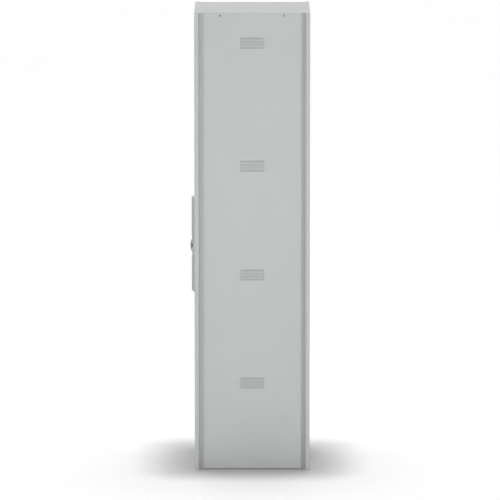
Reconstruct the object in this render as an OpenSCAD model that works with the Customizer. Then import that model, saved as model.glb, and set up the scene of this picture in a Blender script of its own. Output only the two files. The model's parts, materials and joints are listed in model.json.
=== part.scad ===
// Parcel locker: one column of four compartments, a service duct beside the doors and a raised
// control module on its fascia. The front faces -Y, the floor is z = 0 and the origin is the middle
// of the overall footprint. Lengths are in millimetres.

/* [Cabinet] */
// Width of the cabinet, left to right
body_w = 500; // [440:10:620]
// Depth of the cabinet, front plane to back plane
body_d = 500; // [400:10:620]
// Height from the floor to the underside of the roof
body_h = 2000; // [1660:10:2420]
// Thickness of the sheet steel
sheet = 1.5; // [1.2:0.1:2]
// Gap between pieces that are assembled beside each other
fit = 0.3; // [0.2:0.05:0.5]
// Radial clearance of pins, bolts and shafts in their bores
running = 0.05; // [0.02:0.01:0.1]

/* [Roof] */
// Height of the roof's corner tabs inside the posts
roof_tab_h = 20; // [16:1:30]

/* [Corner posts and side panels] */
// Width of the flat strip at each vertical edge
strip_w = 15; // [12:1:24]
// Width of the slanted step from the strip to the panel
joggle_w = 6; // [4:1:10]
// Depth of the side panel below the strips
recess = 20; // [12:1:22]
// Width of a post's front or back face
return_w = 20; // [16:1:24]
// Width of the hinge-side post's front face
hinge_return_w = 26; // [26:1:32]
// Depth of the hinge post's jamb wall
jamb_d = 30; // [24:1:36]
// Width of the post flange behind the side panel
lap_w = 24; // [16:1:36]
// Gap between the floor and the panels
panel_lift = 3; // [2:1:12]
// Diameter of the ventilation holes
vent_d = 6; // [4:0.5:9]
// Spacing of the ventilation holes
vent_pitch = 13.4; // [11:0.2:16]
// Ventilation holes across each group
vent_columns = 8; // [4:1:12]
// Ventilation holes down each group
vent_rows = 4; // [2:1:6]
// Height from a group's centre up to the top of its compartment
vent_drop = 130; // [90:5:140]
// Diameter of the cabinet joining holes near the top
joining_d = 6.5; // [5:0.5:9]
// Distance between the two joining holes of a side
joining_span = 277; // [200:1:320]
// Distance from the roof down to the joining holes and corner rivets
joining_drop = 11; // [9:1:14]
// Diameter of the corner rivets
rivet_d = 5; // [4:0.5:6]
// Distance from a corner to its rivet
rivet_in = 8; // [7:0.5:9]
// Diameter of the blanking plug's head
plug_d = 24; // [18:1:30]
// Height of the blanking plug's centre
plug_z = 43; // [40:1:70]
// Height of the fold line along the panel's foot
fold_z = 21; // [15:1:25]
// Distance between the wall-fixing holes at the back
wall_fix_span = 300; // [200:10:360]
// Diameter of the wall-fixing holes
wall_fix_d = 9; // [6:0.5:12]

/* [Compartments] */
// Height of the floor of the lowest compartment
base_h = 35; // [34:1:60]
// Height from one compartment's floor to the next
bay_h = 477; // [397:1:480]
// Height of the rails between doors
rail_h = 20; // [18:1:30]
// Height of the rail under the roof
header_h = 30; // [28:1:40]
// Height of the ceiling panel's upturned edge
ceiling_lip = 14; // [8:1:16]
// Distance between floor anchors, left to right
anchor_span_x = 380; // [280:10:400]
// Distance between floor anchors, front to back
anchor_span_y = 260; // [180:10:300]
// Diameter of the floor anchor holes
anchor_d = 11; // [8:0.5:14]

/* [Doors] */
// Gap around each door
door_gap = 3; // [2.5:0.5:4]
// Depth of the door pan
door_d = 18; // [16:1:22]
// Distance of the hinge axis from the door's edge and from its face
hinge_in = 5; // [4.5:0.5:5.5]
// Diameter of the hinge pins
pin_d = 5; // [4:0.5:5.5]
// Height of the hinge pin above its rail
pin_stand = 8; // [7:0.5:12]
// Diameter of the hinge washers
washer_d = 11; // [9:0.5:12]
// Width of the stiffener's crown
stiffener_w = 40; // [25:1:60]
// Width of the stiffener's side flanges
stiffener_flange = 18; // [12:1:30]
// Depth of the stiffener behind the door skin
stiffener_d = 13; // [8:1:14]

/* [Locks] */
// Diameter of the lock bolt
bolt_d = 8; // [6:0.5:9]
// Length of the lock bolt
bolt_l = 40; // [30:1:45]
// Travel of the lock bolt
bolt_travel = 8; // [7:0.5:9]
// Depth of the lock bolt's axis behind the front plane
bolt_y = 9.5; // [9:0.5:10]
// Size of the lock body along X
lock_w = 60; // [54:1:64]
// Size of the lock body along Y
lock_d = 24; // [20:1:30]
// Size of the lock body along Z
lock_h = 60; // [40:1:80]
// Thickness of the striker plate
striker_t = 2; // [1.5:0.5:3]
// Height of the striker plate
striker_h = 50; // [30:1:80]
// Size of the door buffers along Z
buffer_h = 20; // [12:1:30]
// Size of the door buffers along Y
buffer_d = 6; // [4:1:8]
// Distance between the two buffers of a door
buffer_span = 260; // [160:10:280]

/* [Service duct] */
// Width of the service duct at the front
duct_w = 115; // [110:1:130]
// Depth of the service duct
duct_d = 120; // [90:1:150]
// Width of the duct's front flange
duct_flange = 18; // [14:1:20]
// Width of the window behind the control module
window_w = 70; // [60:1:72]
// Margin from the module's ends to the window
window_margin = 17; // [15:1:30]
// Diameter of the fascia screws
screw_d = 4; // [3:0.5:5]
// Diameter of the fascia screw heads
screw_head_d = 8; // [6:0.5:9]
// Height of the fascia screw heads
screw_head_h = 1; // [0.5:0.1:2]

/* [Control module] */
// Width of the control module
module_w = 85; // [82:1:88]
// Height of the control module
module_h = 412; // [400:1:460]
// Depth of the control module
module_d = 12; // [11:0.5:16]
// Height of the control module's foot above the floor
module_z = 783; // [700:1:800]
// Height of the chamfer at the module's foot
module_chamfer = 14; // [10:1:20]
// Distance from the module to the cabinet's side
module_margin = 13; // [13:1:14]
// Wall of the module's cover
cover_t = 2; // [1.5:0.5:2.5]
// Radius of the cover's hinge barrel
barrel_r = 2.5; // [2.2:0.1:2.6]
// Diameter of the cover's hinge pin
cover_pin_d = 2.5; // [2:0.5:3]
// Length of each hinge knuckle
knuckle_l = 12; // [8:1:16]
// Distance between the cover's two hinges
cover_hinge_span = 280; // [200:10:300]

/* [Controls] */
// Width of the display glass
display_w = 62; // [50:1:66]
// Height of the display glass
display_h = 84; // [60:1:90]
// Distance from the module's top to the display
display_drop = 36; // [30:1:40]
// Diameter of the wake button
button_d = 14; // [10:1:16]
// Travel of the wake button
button_travel = 2; // [1:0.5:2.5]
// Height of the wake button above the module's foot
button_up = 262; // [258:1:264]
// Depth of the finger hollow across the module behind the knob
hollow_d = 5; // [4:0.5:6]
// Height of the finger hollow
hollow_h = 97; // [90:1:98]
// Diameter of the turning knob
knob_d = 64; // [56:1:66]
// How far the knob stands out from the module
knob_h = 6; // [5:0.5:8]
// Height of the knob's axis above the module's foot
knob_up = 202; // [198:1:206]
// Diameter of the knob's spindle
spindle_d = 12; // [10:0.5:14]
// Diameter of the spindle's housing
housing_d = 24; // [20:1:30]
// Length of the locking cam
cam_l = 43; // [41:1:46]
// Width of the locking cam
cam_w = 14; // [14:1:18]
// Thickness of the locking cam
cam_t = 2; // [1.5:0.5:3]
// Thickness of the cam nut
nut_t = 4; // [3:0.5:6]
// Width of the scanner window
scanner_w = 50; // [40:1:60]
// Height of the scanner window
scanner_h = 30; // [24:1:36]
// Height of the scanner window's centre above the module's foot
scanner_up = 128; // [124:1:132]
// Size of the square card reader pad
reader_w = 52; // [40:1:56]
// Height of the card reader pad's centre above the module's foot
reader_up = 66; // [60:1:70]

/* [Electrics] */
// Width of the control board
board_w = 56; // [50:1:58]
// Height of the control board
board_h = 150; // [100:1:200]
// Distance of the control board from the duct's back wall
board_stand = 14; // [10:1:20]
// Width of the power supply
psu_w = 56; // [50:1:60]
// Height of the power supply
psu_h = 130; // [100:1:160]
// Depth of the power supply
psu_d = 40; // [30:1:50]
// Height of the power supply above the compartment floor
psu_up = 165; // [120:1:200]
// Diameter of the wiring trunk
trunk_d = 10; // [8:1:12]
// Diameter of the wires to each lock
branch_d = 5; // [4:0.5:6]
// Bore of the cable gland
gland_bore_d = 10; // [8:0.5:12]
// Diameter of the cable gland's thread
gland_d = 20; // [18:1:24]
// Width of the foot pads
foot_d = 30; // [24:1:40]
// Diameter of the foot studs
stud_d = 8; // [6:1:10]
// Distance of the feet from the cabinet's sides
foot_in = 50; // [45:1:70]

/* [Hidden] */
$fn = 48;
bays = 4;
half_w = body_w / 2;
proud = module_d + knob_h;
front_y = (proud - body_d) / 2;

// Side walls and posts
panel_x = half_w - recess;
lap_x = panel_x - sheet;
joggle_end = strip_w + joggle_w * (recess + sheet) / recess;
inner_x = lap_x - sheet - fit;
joining_z = body_h - joining_drop;
plug_head = 1;
plug_body_d = plug_d - 4;
fold_cut = 0.5;
notch_w = 80;
notch_h = 30;
tab_w = 9;
tab_in = 4;

// Compartments
tray_front = jamb_d + fit;
tray_back = body_d - 2 * sheet - fit;
duct_x = half_w - duct_w;
rail_left = fit - (half_w - hinge_return_w);
rail_right = duct_x - fit;
rail_end = min(inner_x, half_w - return_w - fit);
anchor_y = body_d / 2 + 40;

// Doors and locks
door_left = door_gap - (half_w - hinge_return_w);
door_right = duct_x - door_gap;
hinge_x = door_left + hinge_in;
stiffener_x = (door_left + door_right) / 2;
bolt_rest_x = duct_x + 0.2;
lock_x = duct_x + sheet;
lock_bore_l = 50;
bolt_hole_d = bolt_d + 1;
lock_y = 2 * sheet + fit;
buffer_w = 8;
screw_in = 40;

// Control module
module_left = half_w - module_margin - module_w;
module_x = module_left + module_w / 2;
module_top = module_z + module_h;
screw_x = [duct_x + duct_flange / 2, half_w - module_margin / 2];
cover_back = -fit;
cover_axis_x = module_left - 3;
cover_axis_y = -3;
leaf_t = 1.2;
leaf_w = 10;
hinge_zs = [for (s = [-1, 1]) module_z + module_h / 2 + s * cover_hinge_span / 2];
face_in = cover_t - module_d;
display_z = module_top - display_drop - display_h / 2;
knob_z = module_z + knob_up;
hollow_r = (pow(hollow_h / 2, 2) + hollow_d * hollow_d) / (2 * hollow_d);
hollow_y = hollow_d - module_d;
knob_base = hollow_y + sqrt(hollow_r * hollow_r - knob_d * knob_d / 4) - hollow_r - fit;
dome_h = module_d + knob_h + knob_base;
dome_r = (pow(knob_d / 2, 2) + dome_h * dome_h) / (2 * dome_h);
cam_y = 2 * sheet + 0.8;
board_y = face_in + 5;
board_t = 1.6;
board_out = 8;
board_post_r = 2.5;
board_post_out = 5;
post_in = 6;
plate_lap = 2;
switch_w = 8;
button_z = module_z + button_up;
button_back = board_y - button_travel - 2 * fit - 0.9;

// Electrics
electrics_x = lock_x + 6;
gland_x = inner_x - 17;
gland_y = duct_d - 16;
gland_top = 8;

// The cover's outline seen from the side, from its chamfered foot to its top
// with the finger hollow as an arc
hollow_half = asin(hollow_h / 2 / hollow_r);
hollow_steps = 12;
cover_path = concat(
    [[cover_back, module_z], [-module_d, module_z + module_chamfer]],
    [for (k = [0 : hollow_steps])
        let (a = hollow_half * (2 * k / hollow_steps - 1))
        [hollow_y - hollow_r * (1 - cos(a)), knob_z + hollow_r * sin(a)]],
    [[-module_d, module_top], [cover_back, module_top]]);

function bay_floor(i) = base_h + (i - 1) * bay_h;
function bay_end(i) = i < bays ? bay_floor(i + 1) : body_h;
function bay_top(i) = bay_end(i) - (i < bays ? rail_h : header_h);
function vent_z(i) = bay_end(i) - vent_drop;
function door_low(i) = bay_floor(i) + door_gap;
function door_high(i) = bay_top(i) - door_gap;
function lock_z(i) = (bay_floor(i) + bay_top(i)) / 2;
function unit(v) = v / norm(v);
function right_of(v) = [v.y, -v.x];

// The point of a path moved t to its right, with mitred corners
function moved(path, i, t) =
    let (last = len(path) - 1,
         before = unit(i > 0 ? path[i] - path[i - 1] : path[1] - path[0]),
         after = unit(i < last ? path[i + 1] - path[i] : path[last] - path[last - 1]))
    path[i] + (right_of(before) + right_of(after)) * t / (1 + before * after);

module in_frame() {
    translate([0, front_y, 0]) children();
}

// Sheet bent along a path in plan, thickness t to the path's right, h tall
module bent_sheet(path, t, h) {
    last = len(path) - 1;
    linear_extrude(h)
        polygon(concat(path, [for (i = [last : -1 : 0]) moved(path, i, t)]));
}

// A box between two corners
module block(low, high) {
    translate(low) cube(high - low);
}

// A cylinder that starts at a point and runs l along +X or +Y
module along_x(at, r, l) {
    translate(at) rotate([0, 90, 0]) cylinder(r = r, h = l);
}

module along_y(at, r, l) {
    translate(at) rotate([-90, 0, 0]) cylinder(r = r, h = l);
}

// ---- Cabinet shell ----

module side_sheet() {
    low_y = joggle_end + fit;
    mid_y = body_d / 2;
    difference() {
        translate([lap_x, 0, 0]) rotate([90, 0, 90]) linear_extrude(sheet) difference() {
            translate([low_y, panel_lift]) square([body_d - 2 * low_y, body_h - panel_lift]);
            for (i = [1 : bays], c = [1 : vent_columns], r = [1 : vent_rows])
                translate([mid_y + (c - (vent_columns + 1) / 2) * vent_pitch,
                           vent_z(i) + (r - (vent_rows + 1) / 2) * vent_pitch])
                    circle(d = vent_d, $fn = 24);
            for (s = [-1, 1])
                translate([mid_y + s * joining_span / 2, joining_z]) circle(d = joining_d);
            translate([mid_y, plug_z]) circle(d = plug_body_d + 2 * running);
        }
        block([lap_x + sheet - fold_cut, low_y - 1, fold_z],
              [lap_x + sheet + 1, body_d - low_y + 1, fold_z + 1]);
    }
}

module side_panel_right() {
    color("gainsboro") in_frame() side_sheet();
}

module side_panel_left() {
    color("gainsboro") in_frame() mirror([1, 0, 0]) side_sheet();
}

// A post at the left front; face_y is its face, face_w the face's width and jamb its inner wall's depth
module post(face_y, face_w, jamb) {
    return_x = face_w - half_w;
    path = concat(
        jamb > 0 ? [[return_x, jamb]] : [],
        [[return_x, face_y], [-half_w, face_y], [-half_w, strip_w], [-lap_x, joggle_end],
         [-lap_x, joggle_end + lap_w]]);
    difference() {
        bent_sheet(path, sheet, body_h);
        along_x([-half_w - 1, rivet_in, joining_z], rivet_d / 2 + running, tab_w);
    }
}

module front_post_left() {
    color("gainsboro") in_frame() post(0, hinge_return_w, jamb_d);
}

module front_post_right() {
    color("gainsboro") in_frame() difference() {
        mirror([1, 0, 0]) post(sheet, return_w, 0);
        fascia_screw_holes();
    }
}

module rear_post_left() {
    color("gainsboro") in_frame() translate([0, body_d, 0]) mirror([0, 1, 0])
        post(sheet, return_w, 0);
}

module rear_post_right() {
    color("gainsboro") in_frame()
        translate([0, body_d, 0]) rotate([0, 0, 180]) post(sheet, return_w, 0);
}

module rear_panel() {
    color("gainsboro") in_frame() translate([0, body_d, 0]) rotate([90, 0, 0])
        linear_extrude(sheet) difference() {
            translate([-half_w, panel_lift]) square([body_w, body_h - panel_lift]);
            for (s = [-1, 1])
                translate([s * wall_fix_span / 2, joining_z]) circle(d = wall_fix_d);
            translate([-notch_w / 2, 0]) square([notch_w, notch_h]);
        }
}

// A flat roof, flush with the recessed side panels and with the posts' strips at its corners
module roof_panel() {
    front = body_d / 2;
    tab_x = half_w - sheet - fit;
    color("gainsboro") in_frame() translate([0, front, body_h]) {
        linear_extrude(sheet) for (sx = [0, 1], sy = [0, 1]) mirror([sx, 0]) mirror([0, sy])
            polygon([[-1, -1], [panel_x, -1], [panel_x, front - strip_w - joggle_w],
                     [half_w, front - strip_w], [half_w, front], [-1, front]]);
        for (sx = [0, 1], sy = [0, 1]) mirror([sx, 0, 0]) mirror([0, sy, 0]) difference() {
            block([tab_x - sheet, front - tab_in - tab_w, -roof_tab_h],
                  [tab_x, front - tab_in, sheet / 2]);
            along_x([tab_x - sheet - 1, front - rivet_in, -joining_drop], rivet_d / 2 + running,
                    sheet + 2);
        }
    }
}

module corner_rivets() {
    color("silver") in_frame()
        for (s = [0, 1], y = [rivet_in, body_d - rivet_in]) mirror([s, 0, 0])
            along_x([half_w - 2 * sheet - 1, y, joining_z], rivet_d / 2, 2 * sheet + 1);
}

module blanking_plugs() {
    outer = lap_x + sheet;
    color("gainsboro") in_frame() for (s = [0, 1]) mirror([s, 0, 0]) {
        along_x([outer, body_d / 2, plug_z], plug_d / 2, plug_head);
        along_x([lap_x, body_d / 2, plug_z], plug_body_d / 2, sheet + plug_head);
    }
}

// ---- Floors, shelves and rails ----

// A tray with its face at z = 0 and its edge turned down by lip; the notch leaves the duct clear
module tray_outline(inset, notched) {
    left = -inner_x + inset;
    right = inner_x - inset;
    front = tray_front + inset;
    back = tray_back - inset;
    notch_x = rail_right - inset;
    notch_y = duct_d + sheet + fit + inset;
    polygon(notched
        ? [[left, front], [notch_x, front], [notch_x, notch_y], [right, notch_y], [right, back],
           [left, back]]
        : [[left, front], [right, front], [right, back], [left, back]]);
}

module tray(lip, notched) {
    translate([0, 0, -lip]) difference() {
        linear_extrude(lip) tray_outline(0, notched);
        translate([0, 0, -sheet]) linear_extrude(lip) tray_outline(sheet, notched);
    }
}

module shelf(i) {
    color("lightgray") in_frame() translate([0, 0, bay_floor(i + 1)]) tray(rail_h, true);
}

module ceiling_panel() {
    color("lightgray") in_frame() translate([0, 0, body_h - header_h])
        mirror([0, 0, 1]) tray(ceiling_lip, false);
}

module base_tray() {
    color("lightgray") in_frame() difference() {
        translate([0, 0, base_h]) tray(rail_h, false);
        for (sx = [-1, 1], sy = [-1, 1])
            translate([sx * anchor_span_x / 2, anchor_y + sy * anchor_span_y / 2, 0])
                cylinder(d = anchor_d, h = base_h + 1);
        foot_places() cylinder(r = stud_d / 2 + running, h = base_h + 1);
        gland_place() cylinder(r = gland_d / 2 + running, h = base_h + 1);
    }
}

module foot_places() {
    for (s = [-1, 1], y = [foot_in, body_d - foot_in])
        translate([s * (half_w - foot_in), y, 0]) children();
}

module levelling_feet() {
    pad_h = 6;
    color("dimgray") in_frame() foot_places() {
        cylinder(d = foot_d, h = pad_h);
        cylinder(d = stud_d, h = base_h - fit);
    }
}

// A rail between the posts, folded from a face and one or two flanges
module rail(low, high, flanges, right) {
    face_path = flanges == "both"
        ? [[jamb_d, low], [0, low], [0, high], [jamb_d, high]]
        : flanges == "top" ? [[0, low], [0, high], [jamb_d, high]]
        : [[jamb_d, low], [0, low], [0, high]];
    difference() {
        translate([rail_left, 0, 0]) rotate([90, 0, 90]) bent_sheet(face_path, sheet, right - rail_left);
        hinge_axis(low - 1) cylinder(r = pin_d / 2 + running, h = high - low + 2);
    }
}

module hinge_axis(z) {
    translate([hinge_x, hinge_in, z]) children();
}

module sill_rail() {
    color("gainsboro") in_frame() {
        rail(panel_lift, base_h, "top", rail_end);
        block([rail_end - 1, 0, panel_lift], [half_w, sheet, base_h]);
    }
}

module header_rail() {
    color("gainsboro") in_frame() {
        rail(body_h - header_h, body_h, "bottom", rail_end);
        block([rail_end - 1, 0, body_h - header_h], [half_w, sheet, body_h]);
    }
}

module mullion_rails() {
    color("gainsboro") in_frame() for (i = [2 : bays])
        rail(bay_floor(i) - rail_h, bay_floor(i), "both", rail_right);
}

module hinge_pins() {
    color("silver") in_frame() {
        for (i = [2 : bays])
            hinge_axis(bay_floor(i) - rail_h - pin_stand)
                cylinder(d = pin_d, h = rail_h + 2 * pin_stand);
        hinge_axis(base_h - pin_stand) cylinder(d = pin_d, h = 2 * pin_stand);
        hinge_axis(body_h - header_h - pin_stand) cylinder(d = pin_d, h = 2 * pin_stand);
    }
}

module hinge_washers() {
    color("white") in_frame() for (i = [1 : bays])
        hinge_axis(bay_floor(i)) difference() {
            cylinder(d = washer_d, h = door_gap - fit);
            translate([0, 0, -1]) cylinder(r = pin_d / 2 + running, h = door_gap + 2);
        }
}

// ---- Service duct and fascia ----

module duct_sheet(path) {
    low = base_h + fit;
    translate([0, 0, low]) bent_sheet(path, sheet, body_h - header_h - fit - low);
}

module duct_side() {
    color("lightgray") in_frame() difference() {
        duct_sheet([[duct_x + duct_flange, sheet], [duct_x, sheet], [duct_x, duct_d + sheet]]);
        for (i = [1 : bays]) along_x([duct_x - 1, bolt_y, lock_z(i)], bolt_hole_d / 2, sheet + 2);
        fascia_screw_holes();
    }
}

module duct_back() {
    color("lightgray") in_frame()
        duct_sheet([[duct_x + sheet + fit, duct_d + sheet], [inner_x, duct_d + sheet],
                    [inner_x, duct_d + sheet - duct_flange]]);
}

module fascia_screw_places() {
    for (x = screw_x, z = [base_h + screw_in, bay_floor(2), module_z + module_h / 2, bay_floor(4),
                           body_h - header_h - screw_in])
        translate([x, 0, z]) children();
}

module fascia_screw_holes() {
    fascia_screw_places() along_y([0, -1, 0], screw_d / 2 + running, 2 * sheet + 2);
}

// Four flat sections around the window behind the control module
module fascia() {
    low = module_z + window_margin;
    high = module_top - window_margin;
    color("gainsboro") in_frame() difference() {
        union() {
            block([duct_x, 0, base_h + fit], [half_w, sheet, low]);
            block([duct_x, 0, low + fit], [module_x - window_w / 2, sheet, high - fit]);
            block([module_x + window_w / 2, 0, low + fit], [half_w, sheet, high - fit]);
            block([duct_x, 0, high], [half_w, sheet, body_h - header_h - fit]);
        }
        fascia_screw_holes();
    }
}

module fascia_screws() {
    color("silver") in_frame() fascia_screw_places() {
        along_y([0, -screw_head_h, 0], screw_head_d / 2, screw_head_h);
        along_y([0, -screw_head_h, 0], screw_d / 2, screw_head_h + 2 * sheet + 1);
    }
}

module door_buffers() {
    color("black") in_frame() for (i = [1 : bays], s = [-1, 1])
        translate([duct_x - buffer_w, door_d + fit, lock_z(i) + s * buffer_span / 2 - buffer_h / 2])
            cube([buffer_w, buffer_d, buffer_h]);
}

module lock_bodies() {
    color("silver") in_frame() for (i = [1 : bays]) difference() {
        block([lock_x, lock_y, lock_z(i) - lock_h / 2],
              [lock_x + lock_w, lock_y + lock_d, lock_z(i) + lock_h / 2]);
        along_x([lock_x - 1, bolt_y, lock_z(i)], bolt_d / 2 + running, lock_bore_l + 1);
    }
}

module lock_bolt(i) {
    color("silver") in_frame() along_x([bolt_rest_x, bolt_y, lock_z(i)], bolt_d / 2, bolt_l);
}

// ---- Doors ----

module door(i) {
    low = [door_left, 0, door_low(i)];
    high = [door_right, door_d, door_high(i)];
    color("gainsboro") in_frame() difference() {
        block(low, high);
        block(low + [sheet, sheet, sheet], high + [-sheet, 1, -sheet]);
        hinge_axis(door_low(i) - 1)
            cylinder(r = pin_d / 2 + running, h = door_high(i) - door_low(i) + 2);
        along_x([door_right - sheet - 1, bolt_y, lock_z(i)], bolt_hole_d / 2, sheet + 2);
    }
}

module door_stiffener(i) {
    low = door_low(i) + sheet + fit;
    high = door_high(i) - sheet - fit;
    crown = stiffener_w / 2;
    foot = crown + stiffener_flange;
    path = [[foot, sheet], [crown, sheet], [crown, stiffener_d], [-crown, stiffener_d],
            [-crown, sheet], [-foot, sheet]];
    color("lightgray") in_frame() translate([stiffener_x, 0, low]) bent_sheet(path, sheet, high - low);
}

module door_striker(i) {
    right = door_right - sheet;
    color("silver") in_frame() difference() {
        block([right - striker_t, sheet, lock_z(i) - striker_h / 2],
              [right, door_d, lock_z(i) + striker_h / 2]);
        along_x([right - striker_t - 1, bolt_y, lock_z(i)], bolt_hole_d / 2, striker_t + 2);
    }
}

// ---- Control module ----

// A cut through the cover's face
module face_cut(w, h, z) {
    block([module_x - w / 2, -module_d - 1, z - h / 2], [module_x + w / 2, face_in + 1, z + h / 2]);
}

module at_hinges() {
    for (z = hinge_zs) translate([cover_axis_x, cover_axis_y, z]) children();
}

module board_posts(r, low, high) {
    for (s = [-1, 1], z = [display_z - display_h / 2 + post_in, display_z + display_h / 2 - post_in])
        along_y([module_x + s * (display_w / 2 + board_post_out), low, z], r, high - low);
}

module module_cover() {
    color("whitesmoke") in_frame() difference() {
        union() {
            translate([module_left, 0, 0]) rotate([90, 0, 90]) {
                bent_sheet(cover_path, cover_t, module_w);
                for (x = [0, module_w - cover_t]) translate([0, 0, x])
                    linear_extrude(cover_t) polygon(cover_path);
            }
            at_hinges() {
                translate([0, 0, -knuckle_l / 2]) cylinder(r = barrel_r, h = knuckle_l);
                block([0, -barrel_r, -knuckle_l / 2],
                      [module_left - cover_axis_x + cover_t / 2, -barrel_r / 5, knuckle_l / 2]);
            }
            board_posts(board_post_r, face_in - cover_t / 2, board_y);
        }
        face_cut(display_w, display_h, display_z);
        face_cut(scanner_w, scanner_h, module_z + scanner_up);
        face_cut(reader_w, reader_w, module_z + reader_up);
        along_y([module_x, -module_d - 1, button_z], button_d / 2 + running, cover_t + 2);
        along_y([module_x, -module_d - 1, knob_z], spindle_d / 2 + running, module_d);
        at_hinges() translate([0, 0, -knuckle_l]) cylinder(r = cover_pin_d / 2 + running, h = 2 * knuckle_l);
        block([module_left - 1, cover_back, module_z - 1],
              [module_left + module_w + 1, cover_t, module_top + 1]);
    }
}

module cover_hinge_leaves() {
    reach = 1.5 * knuckle_l + fit;
    color("silver") in_frame() at_hinges() difference() {
        union() {
            block([-leaf_w, -cover_axis_y - leaf_t, -reach], [-barrel_r - fit, -cover_axis_y, reach]);
            for (s = [0, 1]) mirror([0, 0, s]) {
                translate([0, 0, knuckle_l / 2 + fit]) cylinder(r = barrel_r, h = knuckle_l);
                block([-leaf_w, -cover_axis_y - leaf_t, knuckle_l / 2 + fit], [0, -cover_axis_y, reach]);
            }
        }
        translate([0, 0, -reach - 1]) cylinder(r = cover_pin_d / 2 + running, h = 2 * reach + 2);
    }
}

module cover_hinge_pins() {
    reach = 1.5 * knuckle_l + fit;
    color("silver") in_frame() at_hinges() translate([0, 0, -reach])
        cylinder(d = cover_pin_d, h = 2 * reach);
}

// A plate flush with the cover's face, fit inside its cut
module flush_plate(w, h, z) {
    block([module_x - w / 2 + fit, -module_d, z - h / 2 + fit],
          [module_x + w / 2 - fit, face_in, z + h / 2 - fit]);
}

// The flange that holds a plate from behind
module plate_flange(w, h, z) {
    block([module_x - w / 2 - plate_lap, face_in, z - h / 2 - plate_lap],
          [module_x + w / 2 + plate_lap, face_in + plate_lap / 2, z + h / 2 + plate_lap]);
}

module display_glass() {
    color("black") in_frame() flush_plate(display_w, display_h, display_z);
}

module display_board() {
    color("darkgreen") in_frame() {
        difference() {
            block([module_x - display_w / 2 - board_out, board_y, button_z - button_d],
                  [module_x + display_w / 2 + board_out, board_y + board_t,
                   display_z + display_h / 2]);
            board_posts(board_post_r / 2, board_y - 1, board_y + board_t + 1);
        }
        block([module_x - display_w / 2 + 1, face_in, display_z - display_h / 2 + 1],
              [module_x + display_w / 2 - 1, board_y, display_z + display_h / 2 - 1]);
        block([module_x - switch_w / 2, button_back + button_travel + fit, button_z - switch_w / 2],
              [module_x + switch_w / 2, board_y, button_z + switch_w / 2]);
    }
}

module scanner_window() {
    color("darkred") in_frame() {
        flush_plate(scanner_w, scanner_h, module_z + scanner_up);
        plate_flange(scanner_w, scanner_h, module_z + scanner_up);
    }
}

module reader_pad() {
    color("dimgray") in_frame() {
        flush_plate(reader_w, reader_w, module_z + reader_up);
        plate_flange(reader_w, reader_w, module_z + reader_up);
    }
}

module wake_button() {
    color("seagreen") in_frame() {
        along_y([module_x, -module_d, button_z], button_d / 2, module_d + button_back);
        along_y([module_x, face_in + fit, button_z], button_d / 2 + 2, button_back - face_in - fit);
    }
}

module spindle_housing() {
    low = hollow_y + cover_t;
    high = cover_back - fit;
    color("silver") in_frame() difference() {
        union() {
            along_y([module_x, low, knob_z], housing_d / 2 + 4, cover_t);
            along_y([module_x, low, knob_z], housing_d / 2, high - low);
        }
        along_y([module_x, low - 1, knob_z], spindle_d / 2 + running, high - low + 2);
    }
}

module knob() {
    scoop_r = 20;
    scoop_x = 15;
    scoop_floor = 3;
    color("dimgray") in_frame() translate([module_x, knob_base, knob_z]) {
        difference() {
            intersection() {
                translate([0, dome_r - dome_h, 0]) sphere(dome_r, $fn = 96);
                along_y([0, -dome_h, 0], knob_d / 2, dome_h);
            }
            for (s = [-1, 1])
                translate([s * scoop_x, -scoop_r - scoop_floor, 0]) sphere(scoop_r, $fn = 64);
        }
        along_y([0, -1, 0], spindle_d / 2 + 2, hollow_y - fit - knob_base + 1);
    }
}

module knob_spindle() {
    low = hollow_y - fit;
    color("silver") in_frame()
        along_y([module_x, low, knob_z], spindle_d / 2, cam_y + cam_t + nut_t + 1 - low);
}

module lock_cam() {
    color("silver") in_frame() translate([module_x, cam_y, knob_z]) difference() {
        union() {
            along_y([0, 0, 0], cam_w / 2 + 2, cam_t);
            block([-cam_w / 2, 0, -cam_l], [cam_w / 2, cam_t, 0]);
        }
        along_y([0, -1, 0], spindle_d / 2 + running, cam_t + 2);
    }
}

module cam_nut() {
    color("silver") in_frame() translate([module_x, cam_y + cam_t, knob_z]) rotate([-90, 0, 0])
        difference() {
            cylinder(d = spindle_d + 8, h = nut_t, $fn = 6);
            translate([0, 0, -1]) cylinder(r = spindle_d / 2 + running, h = nut_t + 2);
        }
}

// ---- Electrics ----

module control_board() {
    low = [electrics_x, duct_d - board_stand - board_t, module_z + module_h / 2 - board_h / 2];
    color("darkgreen") in_frame() {
        block(low, low + [board_w, board_t, board_h]);
        for (x = [6, board_w - 6], z = [6, board_h - 6])
            along_y(low + [x, board_t, z], 3, board_stand);
        // Relay, terminal strip, processor and battery
        for (part = [[8, 100, 16, 12, 30], [40, 20, 10, 10, 60], [12, 50, 20, 3, 20],
                     [34, 100, 22, 5, 22]])
            translate(low + [part[0], -part[3], part[1]]) cube([part[2], part[3], part[4]]);
    }
}

module power_supply() {
    low = [electrics_x, duct_d - psu_d, base_h + psu_up];
    color("silver") in_frame() {
        block(low, low + [psu_w, psu_d, psu_h]);
        for (z = [-10, psu_h]) translate(low + [psu_w / 4, psu_d - 2, z]) cube([psu_w / 2, 2, 10]);
    }
}

module gland_place() {
    translate([gland_x, gland_y, 0]) children();
}

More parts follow.
